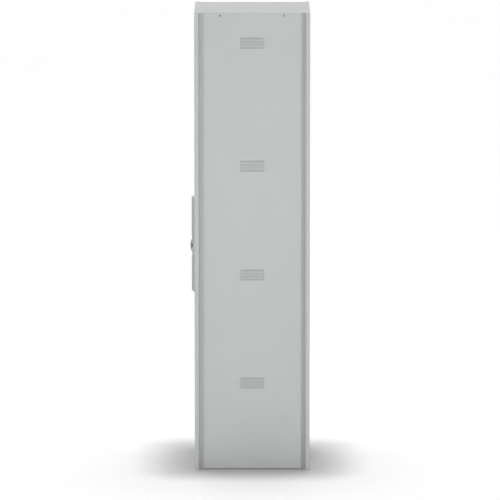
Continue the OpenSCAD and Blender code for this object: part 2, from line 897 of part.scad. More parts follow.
module wiring_harness() {
    low = base_h + gland_top + fit;
    clip = 8;
    lock_mid_y = lock_y + lock_d / 2;
    lock_end = lock_x + lock_w + fit;
    color("black") in_frame() {
        translate([gland_x, gland_y, low]) cylinder(d = trunk_d, h = lock_z(bays) - low);
        for (i = [1 : bays]) {
            along_y([gland_x, lock_mid_y, lock_z(i)], branch_d / 2, gland_y - lock_mid_y);
            along_x([lock_end, lock_mid_y, lock_z(i)], branch_d / 2, gland_x - lock_end);
            translate([gland_x, lock_mid_y, lock_z(i)]) sphere(d = branch_d);
            translate([gland_x - clip / 2, gland_y, lock_z(i) - 2 * clip])
                cube([clip, duct_d - gland_y, clip]);
        }
        along_x([electrics_x + board_w + fit, gland_y, module_z + module_h / 2], branch_d / 2,
                gland_x - electrics_x - board_w - fit);
        along_x([electrics_x + psu_w + fit, gland_y, base_h + psu_up + psu_h / 2], branch_d / 2,
                gland_x - electrics_x - psu_w - fit);
    }
}

module cable_gland() {
    below = 16;
    color("dimgray") in_frame() gland_place() difference() {
        union() {
            translate([0, 0, base_h - sheet - below])
                cylinder(d = gland_d, h = below + sheet + gland_top);
            translate([0, 0, base_h - sheet - below]) cylinder(d = gland_d + 4, h = below);
            translate([0, 0, base_h]) cylinder(d = gland_d + 4, h = gland_top - 2, $fn = 6);
        }
        cylinder(d = gland_bore_d, h = 2 * base_h);
    }
}

side_panel_right();
side_panel_left();
rear_panel();
front_post_left();
front_post_right();
rear_post_left();
rear_post_right();
base_tray();
sill_rail();
header_rail();
mullion_rails();
ceiling_panel();
roof_panel();
duct_side();
duct_back();
fascia();
fascia_screws();
hinge_pins();
hinge_washers();
corner_rivets();
blanking_plugs();
levelling_feet();
door_buffers();
lock_bodies();
module_cover();
cover_hinge_leaves();
cover_hinge_pins();
display_glass();
display_board();
scanner_window();
reader_pad();
wake_button();
spindle_housing();
knob();
knob_spindle();
lock_cam();
cam_nut();
control_board();
power_supply();
wiring_harness();
cable_gland();
for (i = [1 : bays - 1])
    shelf(i);
for (i = [1 : bays]) {
    door(i);
    door_stiffener(i);
    door_striker(i);
    lock_bolt(i);
}
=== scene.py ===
"""Looks of a parcel locker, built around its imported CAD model. Lengths are in metres."""

import json
import math

import bmesh
import bpy
from mathutils import Matrix, Vector


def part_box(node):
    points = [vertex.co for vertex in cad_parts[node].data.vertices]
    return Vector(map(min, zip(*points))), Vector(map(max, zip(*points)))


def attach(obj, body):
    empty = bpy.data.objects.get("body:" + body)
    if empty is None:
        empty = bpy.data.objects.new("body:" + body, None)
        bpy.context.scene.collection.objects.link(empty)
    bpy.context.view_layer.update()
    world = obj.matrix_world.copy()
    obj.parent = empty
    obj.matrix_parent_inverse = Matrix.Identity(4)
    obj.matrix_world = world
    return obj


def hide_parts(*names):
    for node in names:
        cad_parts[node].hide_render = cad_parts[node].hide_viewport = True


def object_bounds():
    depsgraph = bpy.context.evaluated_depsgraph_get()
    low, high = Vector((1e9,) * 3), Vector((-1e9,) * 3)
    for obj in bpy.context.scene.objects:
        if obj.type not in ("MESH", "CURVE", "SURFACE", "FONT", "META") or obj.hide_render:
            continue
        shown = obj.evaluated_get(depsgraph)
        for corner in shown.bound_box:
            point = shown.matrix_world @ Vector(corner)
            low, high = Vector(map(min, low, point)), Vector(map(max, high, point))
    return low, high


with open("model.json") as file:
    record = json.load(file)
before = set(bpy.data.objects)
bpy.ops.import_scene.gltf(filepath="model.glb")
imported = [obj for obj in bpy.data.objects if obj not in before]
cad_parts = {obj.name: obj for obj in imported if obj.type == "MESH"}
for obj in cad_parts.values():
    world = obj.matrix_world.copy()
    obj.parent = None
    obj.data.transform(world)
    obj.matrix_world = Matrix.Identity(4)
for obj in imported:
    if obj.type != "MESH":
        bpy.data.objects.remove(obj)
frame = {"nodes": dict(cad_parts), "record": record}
cad_low, cad_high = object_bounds()
NODES = frame["nodes"]
RECORD = frame["record"]
BODY_OF = {node: body for body, nodes in RECORD["behaviour"]["bodies"].items() for node in nodes}
BAYS = (1, 2, 3, 4)
MM = 0.001
SHEET = 1.5 * MM
FRONT = Vector((0, -1, 0))
UP = Vector((0, 0, 1))
SHARP_ANGLE = math.radians(32)
SIGN_RAISE = 0.12 * MM


# ---- Small helpers ----

def box_of(node):
    """Lowest corner, highest corner and middle of a CAD node."""
    low, high = (Vector(corner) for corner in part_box(node))
    return low, high, (low + high) / 2


def mesh_from(name, build):
    """A smooth mesh with sharp edges, made by a function that fills a bmesh."""
    work = bmesh.new()
    build(work)
    bmesh.ops.recalc_face_normals(work, faces=work.faces)
    mesh = bpy.data.meshes.new(name)
    work.to_mesh(mesh)
    work.free()
    for polygon in mesh.polygons:
        polygon.use_smooth = True
    mesh.set_sharp_from_angle(angle=SHARP_ANGLE)
    return mesh


def settle(piece, host, material, replaces=False):
    """Puts a piece in the scene: it rides with its host node, or stands for it."""
    bpy.context.scene.collection.objects.link(piece)
    piece.data.materials.append(material)
    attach(piece, BODY_OF[host])
    if replaces:
        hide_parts(host)
    return piece


def detail(name, host, slot, build, material=None, replaces=False):
    """A mesh piece on a CAD node, or in its place."""
    piece = bpy.data.objects.new(name, mesh_from(name, build))
    return settle(piece, host, material or FINISHES[slot], replaces)


def label(name, host, text, place, size, material):
    """A raised generic number or sign on a face that looks to the front."""
    curve = bpy.data.curves.new(name, "FONT")
    curve.body = text
    curve.size = size
    curve.align_x = "CENTER"
    curve.align_y = "CENTER"
    curve.extrude = SIGN_RAISE
    piece = bpy.data.objects.new(name, curve)
    piece.location = place
    piece.rotation_euler = (math.radians(90), 0, 0)
    return settle(piece, host, material)


def add_box(work, low, high):
    """Adds an axis-aligned box between two corners."""
    low, high = Vector(low), Vector(high)
    place = Matrix.Translation((low + high) / 2) @ Matrix.Diagonal((*(high - low), 1))
    bmesh.ops.create_cube(work, size=1, matrix=place)


def add_skin(work, loops):
    """Joins loops of vertices into a closed skin with flat ends."""
    for first, second in zip(loops, loops[1:]):
        for k in range(len(first)):
            work.faces.new((first[k - 1], first[k], second[k], second[k - 1]))
    work.faces.new(loops[0][::-1])
    work.faces.new(loops[-1])


def hexagon(across):
    """Radius by angle of a hexagon that is so many millimetres across its flats."""
    return lambda a: across * MM / 2 / math.cos(a % (math.pi / 3) - math.pi / 6)


def add_rings(work, origin, axis, rings, sides=24):
    """Adds a turned shape. Each ring has its millimetres along the axis, then its radius
    in millimetres or its radius by angle."""
    turn = Vector(axis).to_track_quat("Z", "Y").to_matrix()
    loops = []
    for along, radius in rings:
        loop = []
        for k in range(sides):
            a = math.tau * k / sides
            r = radius(a) if callable(radius) else radius * MM
            spot = Vector((r * math.cos(a), r * math.sin(a), along * MM))
            loop.append(work.verts.new(Vector(origin) + turn @ spot))
        loops.append(loop)
    add_skin(work, loops)


def add_slab(work, middle, size, radius, depth, lip=0.2):
    """Adds a plate with round corners and a softened rim, sized in millimetres. Its back
    is at middle, and it stands out to the front."""
    wide, tall, radius, depth, lip = (value * MM for value in (*size, radius, depth, lip))
    half_x, half_z = wide / 2 - radius, tall / 2 - radius
    corners = ((1, 1, 0), (-1, 1, 90), (-1, -1, 180), (1, -1, 270))
    loops = []
    for out, inset in ((0, 0), (depth - lip, 0), (depth, lip)):
        loop = []
        for sx, sz, start in corners:
            for step in range(5):
                a = math.radians(start + step * 22.5)
                spot = Vector((sx * half_x + (radius - inset) * math.cos(a), -out,
                               sz * half_z + (radius - inset) * math.sin(a)))
                loop.append(work.verts.new(Vector(middle) + spot))
        loops.append(loop)
    add_skin(work, loops)


def rounded_path(points, radius, step=8):
    """A polyline with its corners rounded and points added along it, both in millimetres."""
    radius, step = radius * MM, step * MM
    points = [Vector(p) for p in points]
    bent = []
    for before, corner, after in zip(points, points[1:], points[2:]):
        first = corner + (before - corner).normalized() * radius
        last = corner + (after - corner).normalized() * radius
        bent += [first.lerp(corner, t).lerp(corner.lerp(last, t), t)
                 for t in (0, 0.25, 0.5, 0.75, 1)]
    dense = [points[0]]
    for target in bent + [points[-1]]:
        start = dense[-1]
        count = max(1, round((target - start).length / step))
        dense += [start.lerp(target, k / count) for k in range(1, count + 1)]
    return dense


def add_strand(work, path, radius, away=0, pitch=60, phase=0.0, sides=8):
    """Adds a wire along a path. It can wind round the path, so many millimetres away."""
    radius, away, pitch = radius * MM, away * MM, pitch * MM
    tangent = (path[1] - path[0]).normalized()
    side = tangent.orthogonal().normalized()
    travelled, loops = 0.0, []
    for k, point in enumerate(path):
        ahead = (path[min(k + 1, len(path) - 1)] - path[max(k - 1, 0)]).normalized()
        side = (tangent.rotation_difference(ahead) @ side).normalized()
        tangent = ahead
        travelled += (point - path[k - 1]).length if k else 0.0
        a = phase + math.tau * travelled / pitch
        up = tangent.cross(side)
        centre = point + (side * math.cos(a) + up * math.sin(a)) * away
        turns = [math.tau * k / sides for k in range(sides)]
        loops.append([work.verts.new(centre + (side * math.cos(t) + up * math.sin(t)) * radius)
                      for t in turns])
    add_skin(work, loops)


# ---- Materials ----

# The range that most values of a noise texture lie in
SPREAD = (0.3, 0.7)
DUST = (0.42, 0.40, 0.37)
# Colour of the shadow painted on the floor round the cabinet's foot
FLOOR_SHADOW = (0.12, 0.12, 0.12)


class Finish:
    """A node-based material whose pattern follows the object's own coordinates."""

    def __init__(self, name, metallic=0.0, **sockets):
        self.material = bpy.data.materials.new(name)
        self.material.use_nodes = True
        self.tree = self.material.node_tree
        self.shader = self.tree.nodes["Principled BSDF"]
        self.shader.inputs["Metallic"].default_value = metallic
        for socket, value in sockets.items():
            self.shader.inputs[socket.replace("_", " ")].default_value = value
        self.place = self.node("ShaderNodeTexCoord").outputs["Object"]

    def node(self, kind, inputs=None, **settings):
        """Adds a node. An input is a value, or a socket to link from."""
        made = self.tree.nodes.new(kind)
        for key, value in settings.items():
            setattr(made, key, value)
        for key, value in (inputs or {}).items():
            if isinstance(value, bpy.types.NodeSocket):
                self.tree.links.new(value, made.inputs[key])
            else:
                made.inputs[key].default_value = value
        return made

    def stretched(self, scale):
        """The object's coordinates, scaled apart along X, Y and Z."""
        return self.node("ShaderNodeMapping", {"Vector": self.place, "Scale": scale}).outputs[0]

    def noise(self, scale, detail=3.0, rough=0.5, where=None):
        """Noise over the object, finer at a larger scale."""
        return self.node("ShaderNodeTexNoise", {
            "Vector": where or self.place, "Scale": scale, "Detail": detail,
            "Roughness": rough}).outputs["Fac"]

    def ranged(self, value, low, high, to_low=0.0, to_high=1.0):
        """Spreads the values between low and high over another range."""
        return self.node("ShaderNodeMapRange", {
            "Value": value, "From Min": low, "From Max": high, "To Min": to_low,
            "To Max": to_high}).outputs["Result"]

    def mixed(self, amount, first, second):
        """The first colour, covered by the second as far as the amount goes."""
        mix = self.node("ShaderNodeMix", data_type="RGBA")
        for key, value in ((0, amount), (6, first), (7, second)):
            if isinstance(value, bpy.types.NodeSocket):
                self.tree.links.new(value, mix.inputs[key])
            else:
                mix.inputs[key].default_value = value if key == 0 else (*value, 1)
        return mix.outputs[2]

    def math(self, operation, first, second=0.5):
        """One sum on a value, or on two."""
        return self.node("ShaderNodeMath", {0: first, 1: second}, operation=operation).outputs[0]

    def edges(self, radius):
        """0 on flat faces, up to 1 along outer edges."""
        soft = self.node("ShaderNodeBevel", {"Radius": radius}, samples=4).outputs[0]
        plain = self.node("ShaderNodeNewGeometry").outputs["Normal"]
        same = self.node("ShaderNodeVectorMath", {0: soft, 1: plain}, operation="DOT_PRODUCT")
        return self.ranged(same.outputs["Value"], 0.995, 0.85)

    def height(self):
        """Metres above the floor."""
        return self.node("ShaderNodeSeparateXYZ", {"Vector": self.place}).outputs["Z"]

    def finish(self, colour, roughness, bump, strength, depth=0.0002):
        """Links the patterns to the shader."""
        made = self.node("ShaderNodeBump", {"Height": bump, "Strength": strength,
                                            "Distance": depth})
        for pattern, socket in ((colour, "Base Color"), (roughness, "Roughness"),
                                (made.outputs[0], "Normal")):
            self.tree.links.new(pattern, self.shader.inputs[socket])
        return self.material


def shade(colour, factor):
    """The colour made lighter or darker."""
    return tuple(min(1.0, c * factor) for c in colour)


def powder_coat(name, colour, roughness=0.42, wear=0.35):
    """Baked powder coat: orange peel, faint clouding, rubbed edges, dust near the floor."""
    f = Finish(name, Specular_IOR_Level=0.45)
    clouds = f.ranged(f.noise(2.2, 4), *SPREAD)
    base = f.mixed(clouds, shade(colour, 0.975), shade(colour, 1.02))
    specks = f.ranged(f.noise(1400, 2), 0.66, 0.74, 0, 0.12)
    base = f.mixed(specks, base, shade(colour, 0.8))
    scuffs = f.ranged(f.noise(38, 6, 0.7), 0.45, 0.65)
    rubbed = f.math("MULTIPLY", f.math("MULTIPLY", f.edges(0.0012), scuffs), wear)
    base = f.mixed(rubbed, base, shade(colour, 0.72))
    low_down = f.ranged(f.height(), 0.16, 0.0)
    dust = f.math("MULTIPLY", low_down, f.ranged(f.noise(24, 5), *SPREAD, 0.05, 0.2))
    base = f.mixed(dust, base, DUST)
    peel = f.math("ADD", f.noise(620, 2), f.math("MULTIPLY", f.noise(170, 2), 0.6))
    gloss = f.ranged(f.noise(14, 5, 0.6), *SPREAD, roughness - 0.04, roughness + 0.05)
    return f.finish(base, gloss, peel, 0.16, 0.0004)


def zinc_plate(name, colour=(0.62, 0.63, 0.64), roughness=0.34):
    """Bright zinc plate with faint spangles and fine rolling lines."""
    f = Finish(name, metallic=1.0)
    grains = f.node("ShaderNodeTexVoronoi", {"Vector": f.place, "Scale": 160.0}).outputs["Color"]
    tone = f.node("ShaderNodeSeparateColor", {"Color": grains}).outputs[0]
    base = f.mixed(f.ranged(tone, 0, 1), shade(colour, 0.9), shade(colour, 1.06))
    worn = f.math("MULTIPLY", f.edges(0.0008), 0.5)
    base = f.mixed(worn, base, shade(colour, 1.3))
    lines = f.noise(60, 3, 0.6, f.stretched((40.0, 40.0, 1.5)))
    gloss = f.ranged(lines, *SPREAD, roughness - 0.06, roughness + 0.1)
    return f.finish(base, gloss, lines, 0.12, 0.0002)


def grained_plastic(name, colour, roughness=0.5, grain=900.0, strength=0.25, wear=0.4):
    """Moulded plastic with a fine spark-eroded grain."""
    f = Finish(name, Specular_IOR_Level=0.45)
    base = f.mixed(f.ranged(f.noise(45, 4), *SPREAD), shade(colour, 0.93), shade(colour, 1.06))
    worn = f.math("MULTIPLY", f.math("MULTIPLY", f.edges(0.0015), f.noise(120, 4)), wear)
    base = f.mixed(worn, base, shade(colour, 1.7))
    gloss = f.ranged(f.noise(90, 4), *SPREAD, roughness - 0.05, roughness + 0.07)
    return f.finish(base, gloss, f.noise(grain, 2), strength, 0.0003)


def gloss_plate(name, colour, roughness=0.08):
    """Glossy lens or glass with faint smears."""
    f = Finish(name, Coat_Weight=0.6, Coat_Roughness=0.04)
    base = f.mixed(f.ranged(f.noise(18, 3), 0.35, 0.65), shade(colour, 0.85), shade(colour, 1.15))
    worn = f.math("MULTIPLY", f.edges(0.0008), 0.3)
    base = f.mixed(worn, base, shade(colour, 2.5))
    smears = f.noise(26, 6, 0.65, f.stretched((1.0, 1.0, 2.6)))
    gloss = f.ranged(smears, 0.45, 0.75, roughness, roughness + 0.14)
    return f.finish(base, gloss, f.noise(60, 2), 0.02, 0.0002)


def rubber(name, colour=(0.028, 0.028, 0.03)):
    """Dull rubber, chalky at its edges."""
    f = Finish(name, Specular_IOR_Level=0.3)
    base = f.mixed(f.ranged(f.noise(70, 5), *SPREAD), shade(colour, 0.8), shade(colour, 1.5))
    chalk = f.math("MULTIPLY", f.edges(0.001), 0.4)
    base = f.mixed(chalk, base, shade(colour, 3.0))
    gloss = f.ranged(f.noise(140, 3), *SPREAD, 0.68, 0.85)
    return f.finish(base, gloss, f.noise(800, 3), 0.3, 0.0003)


def circuit_board(name):
    """Solder mask over tracks, with tinned pads."""
    f = Finish(name, Coat_Weight=0.3)
    tracks = f.node("ShaderNodeTexBrick", {
        "Vector": f.place, "Scale": 190.0, "Mortar Size": 0.03,
        "Color1": (0.02, 0.13, 0.055, 1), "Color2": (0.018, 0.11, 0.05, 1),
        "Mortar": (0.04, 0.24, 0.10, 1)}).outputs["Color"]
    pads = f.node("ShaderNodeTexVoronoi", {"Vector": f.place, "Scale": 260.0}).outputs["Distance"]
    dots = f.ranged(pads, 0.16, 0.12)
    base = f.mixed(f.math("MULTIPLY", dots, 0.7), tracks, (0.55, 0.5, 0.36))
    base = f.mixed(f.math("MULTIPLY", f.edges(0.0006), 0.6), base, (0.3, 0.28, 0.16))
    gloss = f.ranged(f.noise(80, 3), *SPREAD, 0.28, 0.4)
    return f.finish(base, gloss, dots, 0.2, 0.0002)


def floor_finish():
    """White paper floor with a soft shadow painted on it, darkening it towards the cabinet's foot.
    """
    f = Finish("studio_floor", Specular_IOR_Level=0.2)
    base = f.mixed(f.ranged(f.noise(1.5, 3), *SPREAD), (0.94, 0.94, 0.94), (0.96, 0.96, 0.96))
    spot = f.node("ShaderNodeSeparateXYZ", {"Vector": f.place})
    outside = []
    for axis in ("X", "Y"):
        away = f.math("SUBTRACT", f.math("ABSOLUTE", spot.outputs[axis]), FOOT_HALF)
        outside.append(f.math("POWER", f.math("MAXIMUM", away, 0.0), 2.0))
    distance = f.math("SQRT", f.math("ADD", *outside))
    # Painted shadow: the floor turns towards FLOOR_SHADOW the closer it lies to the footprint
    near = f.node("ShaderNodeMapRange", {
        "Value": distance, "From Min": 0.0, "From Max": PAINTED_SHADOW_REACH, "To Min": PAINTED_SHADOW_STRENGTH,
        "To Max": 0.0}, interpolation_type="SMOOTHSTEP").outputs["Result"]
    base = f.mixed(near, base, FLOOR_SHADOW)
    gloss = f.ranged(f.noise(30, 3), *SPREAD, 0.7, 0.8)
    return f.finish(base, gloss, f.noise(300, 2), 0.02, 0.0005)


def lit_panel(name, colour, glow):
    """A backlit film behind glass, uneven in brightness as small panels are."""
    f = Finish(name, Coat_Weight=0.4)
    cloud = f.ranged(f.noise(30, 2), *SPREAD)
    base = f.mixed(cloud, shade(colour, 0.85), shade(colour, 1.1))
    base = f.mixed(f.math("MULTIPLY", f.edges(0.0004), 0.4), base, shade(colour, 0.5))
    f.tree.links.new(base, f.shader.inputs["Emission Color"])
    f.shader.inputs["Emission Strength"].default_value = glow
    return f.finish(base, f.ranged(f.noise(50, 3), *SPREAD, 0.15, 0.25), f.noise(300, 2), 0.03)


COATING = (0.455, 0.472, 0.467)
# One finish for each material slot of the record
FINISHES = {
    "cabinet_paint": powder_coat("cabinet_paint", COATING),
    "inner_paint": powder_coat("inner_paint", shade(COATING, 0.97), 0.46, 0.2),
    "door_paint": powder_coat("door_paint", shade(COATING, 1.04)),
    "zinc_steel": zinc_plate("zinc_steel"),
    "nylon": grained_plastic("nylon", (0.70, 0.68, 0.62), 0.45),
    "rubber_black": rubber("rubber_black"),
    "module_shell": powder_coat("module_shell", COATING, 0.38),
    "display_black": gloss_plate("display_black", (0.008, 0.009, 0.012)),
    "circuit_board": circuit_board("circuit_board"),
    "scanner_red": gloss_plate("scanner_red", (0.07, 0.004, 0.006)),
    "reader_dark": grained_plastic("reader_dark", (0.018, 0.018, 0.02), 0.42),
    "button_green": grained_plastic("button_green", (0.02, 0.22, 0.08), 0.3, 900.0, 0.06),
    "knob_grey": grained_plastic("knob_grey", (0.165, 0.17, 0.175), 0.46),
    "supply_case": zinc_plate("supply_case", (0.66, 0.66, 0.65), 0.4),
    "wire_black": grained_plastic("wire_black", (0.014, 0.014, 0.015), 0.42, 700.0, 0.08),
    "gland_grey": grained_plastic("gland_grey", (0.05, 0.052, 0.055), 0.5),
}
SIGN_WHITE = grained_plastic("sign_white", (0.80, 0.80, 0.78), 0.4, 900.0, 0.08)
# Black for printed marks, and for the painted shade of the power supply's cooling slots
PRINT_AND_SHADE_BLACK = grained_plastic("print_and_shade_black", (0.02, 0.02, 0.022), 0.4, 900.0, 0.08)
PLATE_ALLOY = zinc_plate("plate_alloy", (0.50, 0.51, 0.52), 0.38)
PLATE_DARK = grained_plastic("plate_dark", (0.035, 0.037, 0.04), 0.38, 1200.0, 0.1)
CHIP_BLACK = grained_plastic("chip_black", (0.02, 0.02, 0.021), 0.45, 1500.0, 0.1)
TERMINAL_GREEN = grained_plastic("terminal_green", (0.02, 0.20, 0.07), 0.42, 900.0, 0.1)
SCREEN_TILE = lit_panel("screen_tile", (0.20, 0.36, 0.52), 0.35)
BOARD_LIGHT = lit_panel("board_light", (0.1, 0.7, 0.15), 1.2)
# The first wire stands for the harness node, so it keeps its slot's finish
WIRES = {
    "black": FINISHES["wire_black"],
    "red": grained_plastic("wire_red", (0.30, 0.012, 0.010), 0.4, 700.0, 0.08),
    "blue": grained_plastic("wire_blue", (0.012, 0.035, 0.22), 0.4, 700.0, 0.08),
    "white": grained_plastic("wire_white", (0.62, 0.61, 0.58), 0.4, 700.0, 0.08),
}

# Nodes that keep their plain edges: sheets with many holes, and small pieces
PLAIN_EDGED = {
    "side_panel_right", "side_panel_left", "rear_panel", "fascia", "duct_side", "base_tray",
    "cover_hinge_pins", "lock_cam", "cam_nut", "hinge_washers", "display_board", "control_board",
}
EDGE_WIDTH = 0.4 * MM
EDGE_ANGLE = math.radians(40)
JOIN_WITHIN = 0.01 * MM


def dress_cad_nodes():
    """Gives every CAD node its finish, and rounds the edges of most of them."""
    for row in RECORD["subparts"]:
        node = NODES[row["node"]]
        node.data.materials.clear()
        node.data.materials.append(FINISHES[row["material_slot"]])
        if row["node"] in PLAIN_EDGED:
            continue
        weld = node.modifiers.new("join", "WELD")
        weld.merge_threshold = JOIN_WITHIN
        bevel = node.modifiers.new("round", "BEVEL")
        bevel.width = EDGE_WIDTH
        bevel.segments = 2
        bevel.limit_method = "ANGLE"
        bevel.angle_limit = EDGE_ANGLE
        bevel.harden_normals = True


# ---- Details ----

def make_fascia_screws():
    """Low domed screws with a hexagonal socket."""
    low, high, _ = box_of("fascia_screws")
    radius = 4 * MM
    levels = [low.z + radius, box_of("shelf_1")[1].z, box_of("module_cover")[2].z,
              box_of("shelf_3")[1].z, high.z - radius]
    face_y = box_of("fascia")[0].y
    rings = [(-4, 1.95), (0, 1.95), (0, 4), (0.25, 4), (0.6, 3.6), (0.85, 2.9), (0.98, 2.0),
             (1.0, hexagon(2.5)), (0.3, hexagon(2.5)), (0.2, 0.4)]

    def build(work):
        for x in (low.x + radius, high.x - radius):
            for z in levels:
                add_rings(work, (x, face_y, z), FRONT, rings)
    detail("socket_screws", "fascia_screws", "zinc_steel", build, replaces=True)


def make_corner_rivets():
    """Flush blind rivets whose hollow core shows as a dark dot."""
    low, high, _ = box_of("corner_rivets")
    radius = 2.5 * MM
    rings = [(-3.9, 2.4), (-0.2, 2.5), (0, 2.3), (0, 2.0), (-0.25, 1.75), (-1.8, 1.5), (-2.0, 0.3)]

    def build(work):
        for x, way in ((low.x, (-1, 0, 0)), (high.x, (1, 0, 0))):
            for y in (low.y + radius, high.y - radius):
                add_rings(work, (x, y, (low.z + high.z) / 2), way, rings)
    detail("blind_rivets", "corner_rivets", "zinc_steel", build, replaces=True)


def make_levelling_feet():
    """Pads on threaded studs, each with a lock nut under the base tray."""
    low, high, _ = box_of("levelling_feet")
    radius = 15 * MM
    pad = [(0, 13.6), (0.9, 14.8), (1.6, 15), (5, 15), (6, 14.2), (6.4, 8.4), (9.5, 6.4),
           (9.5, 3.4)]
    thread_from, pitch = 10, 1.25
    turns = int((high.z - thread_from * MM) / (pitch * MM))
    thread = [point for k in range(turns) for point in (
        (thread_from + pitch * k, 3.4), (thread_from + 0.62 + pitch * k, 3.98))]
    nut = [(26, 4), (26, 6.2), (26.5, hexagon(13)), (31.5, hexagon(13)), (32, 6.2), (32, 4)]

    def build(work):
        for x in (low.x + radius, high.x - radius):
            for y in (low.y + radius, high.y - radius):
                add_rings(work, (x, y, 0), UP, pad + thread, 32)
                add_rings(work, (x, y, 0), UP, nut, 30)
    detail("threaded_feet", "levelling_feet", "rubber_black", build, replaces=True)


def make_harness():
    """Twisted wires from the gland up the service duct, with a pair to each lock."""
    gap = 0.3 * MM
    gland = box_of("cable_gland")[2]
    low, high, _ = box_of("wiring_harness")
    _, lock_high, lock_mid = box_of("lock_bodies")
    locks = [box_of(f"lock_bolt_{i}")[2].z for i in BAYS]
    trunk = rounded_path([(gland.x, gland.y, low.z), (gland.x, gland.y, high.z - 3 * MM)], 1, 7)
    branches = [rounded_path([(gland.x, gland.y, z), (gland.x, lock_mid.y, z),
                              (lock_high.x + gap, lock_mid.y, z)], 9, 4) for z in locks]
    for _, host_high, host in (box_of("control_board"), box_of("power_supply")):
        branches.append(rounded_path([(gland.x, gland.y, host.z),
                                      (host_high.x + gap, gland.y, host.z)], 1, 4))
    for turn, (colour, material) in enumerate(WIRES.items()):
        def build(work):
            for extra in (0, 1):
                phase = math.tau * (turn + len(WIRES) * extra) / 8
                add_strand(work, trunk, 1.5, 3.4, 90, phase)
            if colour in ("black", "red"):
                for path in branches:
                    add_strand(work, path, 1.15, 1.2, 22, math.pi * turn)
        detail(f"wires_{colour}", "wiring_harness", "wire_black", build, material,
               replaces=turn == 0)

    band = [(0, 5), (0, 5.9), (0.6, 6.3), (7.4, 6.3), (8, 5.9), (8, 5)]
    sleeve = [(0, 4.4), (5, 4.4), (6, 3.6), (9, 2.6)]

    def clips(work):
        wall = box_of("duct_back")[1].y - SHEET
        for z in locks:
            add_rings(work, (gland.x, gland.y, z - 16 * MM), UP, band, 32)
            add_box(work, (gland.x - 4 * MM, gland.y + 5 * MM, z - 15 * MM),
                    (gland.x + 4 * MM, wall, z - 9 * MM))
            add_rings(work, (lock_high.x - 1 * MM, lock_mid.y, z), (1, 0, 0), sleeve, 6)
    detail("harness_clips", "wiring_harness", "nylon", clips)


def make_board_parts():
    """Capacitors, chips with legs, sockets and lamps on the control board."""
    low, high, _ = box_of("control_board")
    tallest = 15.6 * MM
    face = high.y - tallest

    def at(x, z, out=0.0):
        """A place on the board, in millimetres from its low left corner."""
        return Vector((low.x + x * MM, face - out * MM, low.z + z * MM))

    def capacitors(work):
        can = [(0, 4), (0.8, 4), (1.2, 3.7), (1.6, 4), (9.6, 4), (10, 3.6), (9.8, 0.4)]
        for x, z in ((13, 20), (25, 20), (13, 33), (25, 33)):
            add_rings(work, at(x, z), FRONT, can, 28)
    detail("capacitors", "control_board", "supply_case", capacitors, PLATE_ALLOY)

    def legs(work):
        for row in range(8):
            for x in (10.2, 32.6):
                add_box(work, at(x, 51.5 + 2.3 * row), at(x + 1.2, 52.4 + 2.3 * row, 1.6))
        for row in range(6):
            add_rings(work, at(45, 25 + 10 * row, 10), FRONT,
                      [(0, 2), (0.5, 2), (0.7, 1.7), (0.4, 0.4)], 16)
    detail("board_pins", "control_board", "zinc_steel", legs)

    def chips(work):
        for x, z, wide, tall, out in ((10, 76, 9, 9, 1.6), (24, 78, 7, 5, 1.4), (24, 88, 7, 5, 1.4),
                                      (8, 138, 14, 6, 5), (28, 134, 12, 9, 4)):
            add_slab(work, at(x + wide / 2, z + tall / 2), (wide, tall), 0.4, out)
    detail("board_chips", "control_board", "circuit_board", chips, CHIP_BLACK)

    def lamps(work):
        for z in (126, 131, 136):
            add_slab(work, at(50, z), (2.4, 1.4), 0.4, 0.9)
    detail("board_lamps", "control_board", "circuit_board", lamps, BOARD_LIGHT)


def make_supply_parts():
    """Cooling slots shown as black plates of painted shade, a terminal block and cover screws on
    the power supply.
    """
    low, high, mid = box_of("power_supply")
    base_z = low.z + 10 * MM
    skin_y = low.y + 0.05 * MM
    terminal_z = base_z + 14 * MM
    terminal_x = [mid.x + k * 9 * MM for k in range(-2, 3)]

    # The slots are not cut: thin black plates stand in for the shade inside them, as painted shade
    def slots(work):
        for row in range(9):
            for x in (mid.x - 13 * MM, mid.x + 13 * MM):
                add_slab(work, (x, skin_y, base_z + (48 + 8 * row) * MM), (20, 3), 1.4, 0.3)
    detail("supply_slot_shade", "power_supply", "supply_case", slots, PRINT_AND_SHADE_BLACK)

    def terminals(work):
        for x in terminal_x:
            add_slab(work, (x, skin_y, terminal_z), (8.4, 16), 0.6, 7)
    detail("supply_terminals", "power_supply", "supply_case", terminals, TERMINAL_GREEN)

    def screws(work):
        rings = [(0, 2.4), (0.6, 2.4), (1.1, 1.8), (1.2, hexagon(1.6)), (0.5, hexagon(1.6)),
                 (0.4, 0.2)]
        for x in terminal_x:
            add_rings(work, (x, low.y - 6.9 * MM, terminal_z), FRONT, rings, 18)
        for x in (low.x + 5 * MM, high.x - 5 * MM):
            for z in (base_z + 40 * MM, high.z - 15 * MM):
                add_rings(work, (x, low.y, z), FRONT, rings, 18)
    detail("supply_screws", "power_supply", "zinc_steel", screws)


def make_door_numbers():
    """A small riveted number plate on each door."""
    thick = 0.8
    for i in BAYS:
        door = f"door_{i}"
        low, high, _ = box_of(door)
        middle = Vector((high.x - 46 * MM, low.y, high.z - 44 * MM))

        def plate(work):
            add_slab(work, middle, (44, 28), 3, thick)
            for side in (-1, 1):
                add_rings(work, middle + Vector((side * 18 * MM, -0.7 * MM, 0)), FRONT,
                          [(0, 1.6), (0.2, 1.6), (0.5, 0.9), (0.55, 0.1)], 16)
        detail(f"number_plate_{i}", door, "door_paint", plate, PLATE_DARK)
        label(f"number_{i}", door, str(i),
              middle + Vector((0, -(thick + 0.05) * MM, 0)), 24 * MM, SIGN_WHITE)


